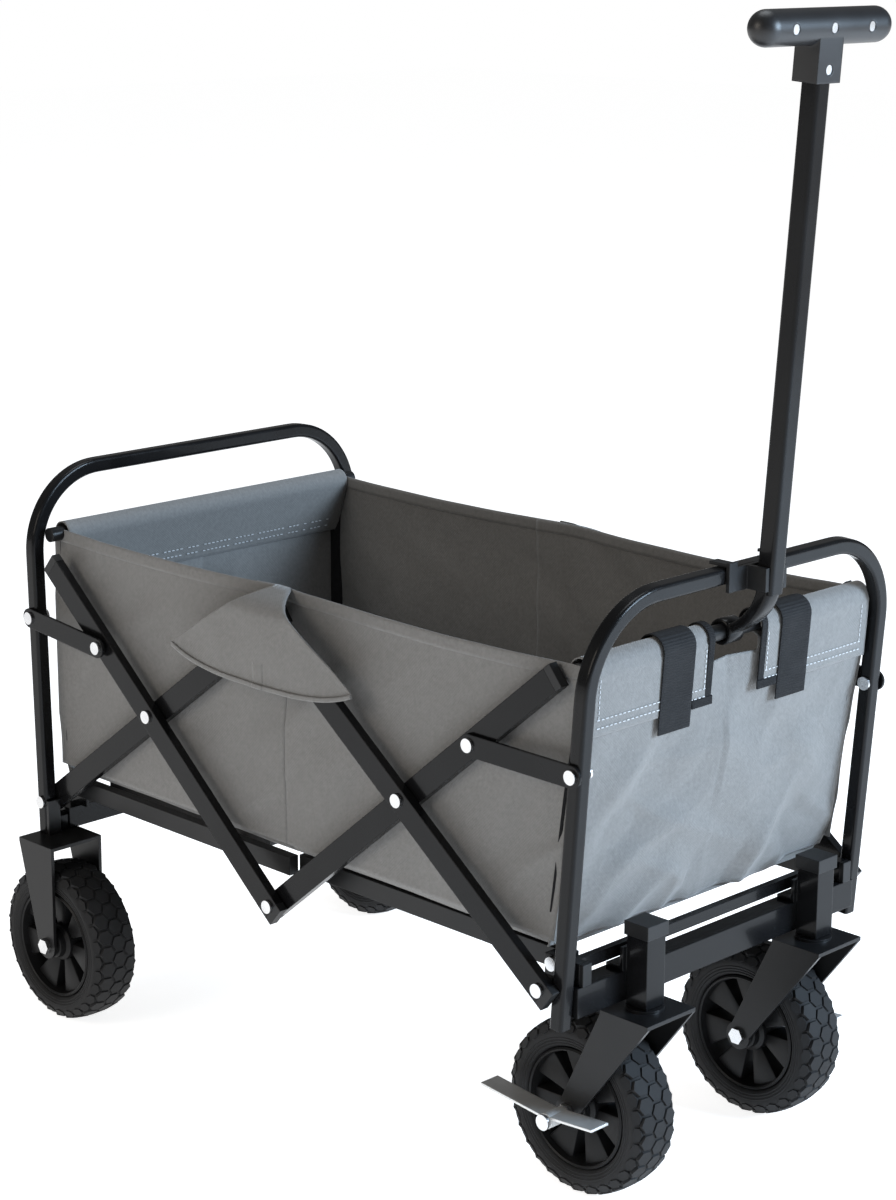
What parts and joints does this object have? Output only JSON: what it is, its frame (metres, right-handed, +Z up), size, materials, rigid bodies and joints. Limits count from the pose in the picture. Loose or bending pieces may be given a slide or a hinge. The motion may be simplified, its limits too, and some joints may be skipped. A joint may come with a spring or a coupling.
{
  "type": "folding utility wagon",
  "caption": "Folding four-wheeled utility wagon: cloth basket in a scissor-folding steel frame, braked swivel casters in front, and a hinged pull handle.",
  "frame": {"origin": "on the floor under the middle of the whole wagon's bounding box", "axes": "+X forward towards the pull handle, +Y to the left-hand side, +Z up"},
  "size_m": [0.9433, 0.5506, 1.1433],
  "materials": {
    "black_tube": "glossy black powder coat",
    "black_plastic": "fine satin",
    "rim_plastic": "satin",
    "grip_plastic": "satin",
    "zinc": "bright zinc plating",
    "dark_steel": "satin black",
    "oxford_cloth": "woven polyester",
    "webbing": "ribbed webbing",
    "tyre_rubber": "matte rubber",
    "board": "matte board"
  },
  "bodies": {
    "rear_frame": {"rear_hoop": "black_tube", "rear_rod": "dark_steel", "rear_crossbar": "black_tube", "rear_fork_near": "dark_steel", "rear_fork_far": "dark_steel", "rear_axle_bolts": "zinc", "rear_pivot_bolts": "zinc", "rear_panel": "oxford_cloth", "side_fabric_rear": "oxford_cloth", "rear_floor_pivots": "zinc"},
    "bars_b": {"bars_b": "black_tube", "bars_b_caps": "black_plastic", "bars_b_bolts": "zinc"},
    "bars_a": {"bars_a": "black_tube", "bars_a_caps": "black_plastic", "bars_a_bolts": "zinc"},
    "bars_c": {"bars_c": "black_tube", "bars_c_caps": "black_plastic"},
    "bars_d": {"bars_d": "black_tube", "bars_d_caps": "black_plastic", "bars_d_bolts": "zinc"},
    "front_frame": {"front_hoop": "black_tube", "front_rod": "dark_steel", "front_crossbar": "black_tube", "rail_stubs": "black_tube", "front_pivot_bolts": "zinc", "caster_posts": "black_tube", "front_caps": "black_plastic", "handle_clip": "black_plastic", "front_panel": "oxford_cloth", "front_straps": "webbing", "side_fabric_front": "oxford_cloth", "front_floor_pivots": "zinc"},
    "rear_links": {"rear_links": "black_tube", "rear_link_rivets": "zinc"},
    "front_links": {"front_links": "black_tube", "front_link_rivets": "zinc"},
    "rear_floor": {"rear_floor_rails": "dark_steel", "rear_floor_board": "board"},
    "front_floor": {"front_floor_rails": "dark_steel", "front_floor_board": "board"},
    "handle": {"handle_pole": "black_tube", "handle_arm": "black_tube", "handle_grip": "grip_plastic", "handle_screws": "zinc"},
    "caster_near": {"caster_fork_near": "dark_steel", "caster_bolts_near": "zinc"},
    "front_wheel_near": {"front_wheel_near_tyre": "tyre_rubber", "front_wheel_near_rim": "rim_plastic"},
    "rear_wheel_near": {"rear_wheel_near_tyre": "tyre_rubber", "rear_wheel_near_rim": "rim_plastic"},
    "brake_near": {"brake_pedal_near": "zinc"},
    "caster_far": {"caster_fork_far": "dark_steel", "caster_bolts_far": "zinc"},
    "front_wheel_far": {"front_wheel_far_tyre": "tyre_rubber", "front_wheel_far_rim": "rim_plastic"},
    "rear_wheel_far": {"rear_wheel_far_tyre": "tyre_rubber", "rear_wheel_far_rim": "rim_plastic"},
    "brake_far": {"brake_pedal_far": "zinc"}
  },
  "joints": [
    {"name": "fold", "type": "hinge", "parent": "rear_frame", "child": "bars_b", "pos_m": [-0.4187, 0, 0.246], "axis": [0, -1, 0], "range_deg": [0, 38.42], "deforming": ["side_fabric_rear", "side_fabric_front"]},
    {"name": "rear_crossing", "type": "hinge", "parent": "bars_b", "child": "bars_a", "pos_m": [-0.2287, 0, 0.387], "axis": [0, -1, 0], "range_deg": [-74.1, 0]},
    {"name": "bottom_joint", "type": "hinge", "parent": "bars_a", "child": "bars_c", "pos_m": [-0.0347, 0, 0.224], "axis": [0, -1, 0], "range_deg": [0, 71.36]},
    {"name": "front_crossing", "type": "hinge", "parent": "bars_c", "child": "bars_d", "pos_m": [0.1593, 0, 0.387], "axis": [0, -1, 0], "range_deg": [-74.1, 0]},
    {"name": "front_pivot", "type": "hinge", "parent": "bars_d", "child": "front_frame", "pos_m": [0.3493, 0, 0.246], "axis": [0, -1, 0], "range_deg": [0, 38.42]},
    {"name": "rear_link_pivot", "type": "hinge", "parent": "rear_frame", "child": "rear_links", "pos_m": [-0.42395, 0, 0.461], "axis": [0, -1, 0], "range_deg": [0, 73.91]},
    {"name": "front_link_pivot", "type": "hinge", "parent": "front_frame", "child": "front_links", "pos_m": [0.38059, 0, 0.461], "axis": [0, -1, 0], "range_deg": [-62.83, 0]},
    {"name": "rear_floor_hinge", "type": "hinge", "parent": "rear_frame", "child": "rear_floor", "pos_m": [-0.4067, 0, 0.26], "axis": [0, -1, 0], "range_deg": [0, 72.52]},
    {"name": "front_floor_hinge", "type": "hinge", "parent": "front_frame", "child": "front_floor", "pos_m": [0.3373, 0, 0.26], "axis": [0, -1, 0], "range_deg": [-72.52, 0]},
    {"name": "handle_swing", "type": "hinge", "parent": "front_frame", "child": "handle", "pos_m": [0.36999, 0, 0.555], "axis": [0, 1, 0], "range_deg": [0, 100]},
    {"name": "caster_swivel_near", "type": "hinge", "parent": "front_frame", "child": "caster_near", "pos_m": [0.3893, -0.131, 0], "axis": [0, 0, 1], "continuous": true},
    {"name": "front_wheel_spin_near", "type": "hinge", "parent": "caster_near", "child": "front_wheel_near", "pos_m": [0.3233, -0.131, 0.09], "axis": [0, 1, 0], "continuous": true},
    {"name": "rear_wheel_spin_near", "type": "hinge", "parent": "rear_frame", "child": "rear_wheel_near", "pos_m": [-0.3817, -0.235, 0.09], "axis": [0, 1, 0], "continuous": true},
    {"name": "brake_press_near", "type": "hinge", "parent": "caster_near", "child": "brake_near", "pos_m": [0.3233, -0.131, 0.09], "axis": [0, 1, 0], "range_deg": [-12, 12]},
    {"name": "caster_swivel_far", "type": "hinge", "parent": "front_frame", "child": "caster_far", "pos_m": [0.3893, 0.131, 0], "axis": [0, 0, 1], "continuous": true},
    {"name": "front_wheel_spin_far", "type": "hinge", "parent": "caster_far", "child": "front_wheel_far", "pos_m": [0.3233, 0.131, 0.09], "axis": [0, 1, 0], "continuous": true},
    {"name": "rear_wheel_spin_far", "type": "hinge", "parent": "rear_frame", "child": "rear_wheel_far", "pos_m": [-0.3817, 0.235, 0.09], "axis": [0, 1, 0], "continuous": true},
    {"name": "brake_press_far", "type": "hinge", "parent": "caster_far", "child": "brake_far", "pos_m": [0.3233, 0.131, 0.09], "axis": [0, 1, 0], "range_deg": [-12, 12]}
  ],
  "couplings": [
    {"joint": "rear_crossing", "follows": "fold", "ratio": -1.9286},
    {"joint": "bottom_joint", "follows": "fold", "ratio": 1.8572},
    {"joint": "front_crossing", "follows": "fold", "ratio": -1.9286},
    {"joint": "front_pivot", "follows": "fold", "ratio": 1},
    {"joint": "rear_link_pivot", "follows": "fold", "ratio": 1.9236},
    {"joint": "front_link_pivot", "follows": "fold", "ratio": -1.6353},
    {"joint": "rear_floor_hinge", "follows": "fold", "ratio": 1.8874},
    {"joint": "front_floor_hinge", "follows": "fold", "ratio": -1.8874}
  ]
}
